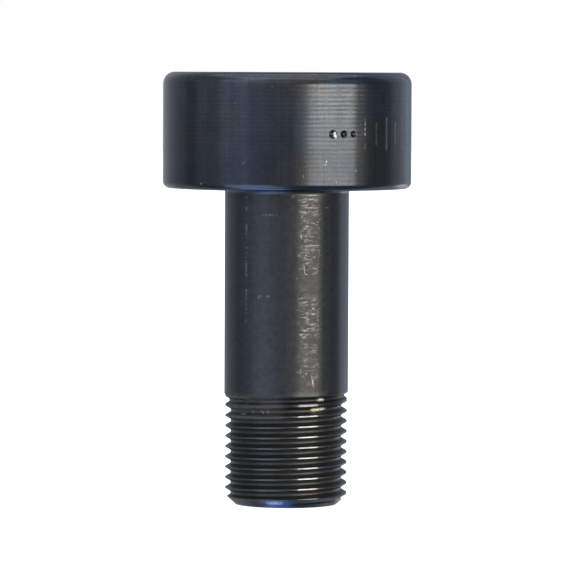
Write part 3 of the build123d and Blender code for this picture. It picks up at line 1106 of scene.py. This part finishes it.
def plate_steel():
    """Faced and blackened plate: fine rings about the axis on its flat faces."""
    s = Shader("plate_black_oxide", SHANK_R)
    rings = s.streaks(14.0, 0.35, 3.0, 0.6)
    colour = s.shade(oxide(s), s.span(rings, 0.3, 0.7, 0.85, 1.15, smooth=False))
    return s.finish(colour, s.span(rings, 0.3, 0.7, 0.24, 0.30), s.bump(rings, 0.004))


def grained(name, noise, colours, roughness, depth, metallic=1.0, strong=False):
    """One fine grain in colour, roughness and surface; a strong one spreads the colours more."""
    s = Shader(name)
    grain = s.noise(s.place, *noise)
    share = s.span(grain, 0.3, 0.7) if strong else grain
    rough = s.span(grain, 0.3, 0.7, *roughness)
    return s.finish(s.mix(share, *colours), rough, s.bump(grain, depth), metallic)


def fitting_steel():
    """Turned and zinc-plated fitting."""
    s = Shader("fitting_zinc", FITTING_R)
    lines = s.streaks(3.0, 0.12, 2.0)
    cloud = s.noise(s.place, 0.9, 3.0)
    colour = s.mix(cloud, *ZINC)
    return s.finish(colour, s.span(lines, 0.3, 0.7, 0.22, 0.34), s.bump(lines, 0.003))


# ------------ assembly

def fit(piece, body, node, material):
    """Puts a piece on its body in place of its CAD node."""
    piece.data.materials.append(material)
    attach(piece, body)
    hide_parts(node)


def assemble():
    """Every piece, on its body."""
    needle_finish = grained(
        "needle_steel", (2.0, 3.0, 0.6), NEEDLE_STEEL, (0.08, 0.16), 0.001, strong=True)
    spring_finish = grained(
        "spring_wire", (5.0, 3.0, 0.6), SPRING_STEEL, (0.2, 0.32), 0.001, strong=True)
    seal_finish = grained(
        "seal_polymer", (6.0, 3.0, 0.6), POLYMER, (0.45, 0.6), 0.01, metallic=0.0)
    cage_finish = grained("cage_steel", (3.0, 4.0, 0.65), SHEET_STEEL, (0.28, 0.42), 0.006)
    fit(make_stud(), "stud", "stud", stud_steel())
    fit(make_roller(), "roller", "outer_ring", roller_steel())
    fit(make_end_plate(), "stud", "end_plate", plate_steel())
    gap = 0.06
    plate_seal = lathe("plate_thrust_seal", seal_corners(PLATE_TOP + gap, LIP_LOW, SHOULDER_LOW))
    head_seal = lathe("head_thrust_seal", seal_corners(FLANGE_LOW - gap, LIP_HIGH, SHOULDER_HIGH))
    fit(plate_seal, "roller", "plate_seal", seal_finish)
    fit(head_seal, "roller", "head_seal", seal_finish)
    fit(make_cage(), "cage", "needle_cage", cage_finish)
    for node in NEEDLES:
        fit(make_needle(node), "roller_" + node, node, needle_finish)
    fit(make_fitting(), "stud", "grease_fitting_body", fitting_steel())
    fit(make_ball(), "check_ball", "grease_fitting_ball", needle_finish)
    spring = make_spring()
    fit(spring, "stud", "grease_fitting_spring", spring_finish)
    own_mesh(spring)


# ------------ the studio

def panel(name, aim, size, radiance, colour):
    """A soft rectangular light of even brightness, facing the object.

    It stands at an angle from the front and an elevation; its size is in degrees as well.
    """
    angle, elevation = (math.radians(a) for a in aim)
    light = bpy.data.lights.new(name, "AREA")
    light.shape = "RECTANGLE"
    light.size, light.size_y = (2 * LIGHT_DISTANCE * math.tan(math.radians(a) / 2) * MM for a in size)
    light.color = colour
    light.energy = radiance * math.pi * light.size * light.size_y
    lamp = placed(name, light)
    level = Vector((math.sin(angle), -math.cos(angle), 0)) * math.cos(elevation)
    lamp.location = (level + Vector((0, 0, math.sin(elevation)))) * LIGHT_DISTANCE * MM
    lamp.rotation_euler = (-lamp.location).to_track_quat("-Z", "Y").to_euler()
    lamp.visible_camera = False


def make_world():
    """A plain white surround to the camera, and a dim cool one to everything else."""
    world = bpy.data.worlds.new("studio")
    world.use_nodes = True
    nodes, links = world.node_tree.nodes, world.node_tree.links
    nodes.clear()
    seen = nodes.new("ShaderNodeBackground")
    dim = nodes.new("ShaderNodeBackground")
    dim.inputs["Color"].default_value = SURROUND_TINT
    dim.inputs["Strength"].default_value = SURROUND_GLOW
    path = nodes.new("ShaderNodeLightPath")
    both = nodes.new("ShaderNodeMixShader")
    out = nodes.new("ShaderNodeOutputWorld")
    seen.inputs["Color"].default_value = WHITE
    links.new(path.outputs["Is Camera Ray"], both.inputs[0])
    links.new(dim.outputs[0], both.inputs[1])
    links.new(seen.outputs[0], both.inputs[2])
    links.new(both.outputs[0], out.inputs[0])
    bpy.context.scene.world = world


def make_floor():
    """A plain pale floor at the stud's end, white away from the object and clear from below."""
    mesh = bpy.data.meshes.new("floor")
    height = (STUD_END - 0.02) * MM
    sides = ((-1, -1), (1, -1), (1, 1), (-1, 1))
    mesh.from_pydata([(FLOOR_HALF * x, FLOOR_HALF * y, height) for x, y in sides], [], [(0, 1, 2, 3)])
    floor = placed("floor", mesh)
    material = bpy.data.materials.new("pale_floor")
    material.use_nodes = True
    shader = material.node_tree.nodes["Principled BSDF"]
    shader.inputs["Base Color"].default_value = FLOOR_GREY
    shader.inputs["Roughness"].default_value = 0.9
    shader.inputs["Emission Color"].default_value = WHITE
    shader.inputs["Emission Strength"].default_value = FLOOR_GLOW
    nodes, links = material.node_tree.nodes, material.node_tree.links
    mix = nodes.new("ShaderNodeMixShader")
    links.new(nodes.new("ShaderNodeNewGeometry").outputs["Backfacing"], mix.inputs[0])
    links.new(shader.outputs[0], mix.inputs[1])
    links.new(nodes.new("ShaderNodeBsdfTransparent").outputs[0], mix.inputs[2])
    links.new(mix.outputs[0], nodes["Material Output"].inputs["Surface"])
    material.cycles.emission_sampling = "NONE"
    mesh.materials.append(material)
    floor.visible_glossy = False
    floor.visible_shadow = False


def make_camera():
    """Level with the roller's upper face and turned slightly down."""
    camera = bpy.data.cameras.new("camera")
    camera.sensor_fit = "HORIZONTAL"
    camera.sensor_width = 36
    camera.lens = LENS
    camera.clip_start = 0.01
    view = placed("camera", camera)
    view.location = (0, -CAMERA_DISTANCE * MM, RING_HIGH * MM)
    view.rotation_euler = (math.radians(90 - CAMERA_DIP), math.radians(CAMERA_ROLL), 0)
    bpy.context.scene.camera = view


def light_studio():
    """A bright panel to the right with a soft left edge, and cooler and dimmer ones elsewhere."""
    for first, last, radiance in KEY_PANELS:
        aim = ((first + last) / 2, KEY_ELEVATION)
        panel("key", aim, (last - first, KEY_HEIGHT), radiance, KEY_COLOUR)
    for settings in PANELS:
        panel(*settings)
    make_world()
    make_floor()
    make_camera()
    bpy.context.scene.view_settings.view_transform = "Standard"


assemble()
light_studio()
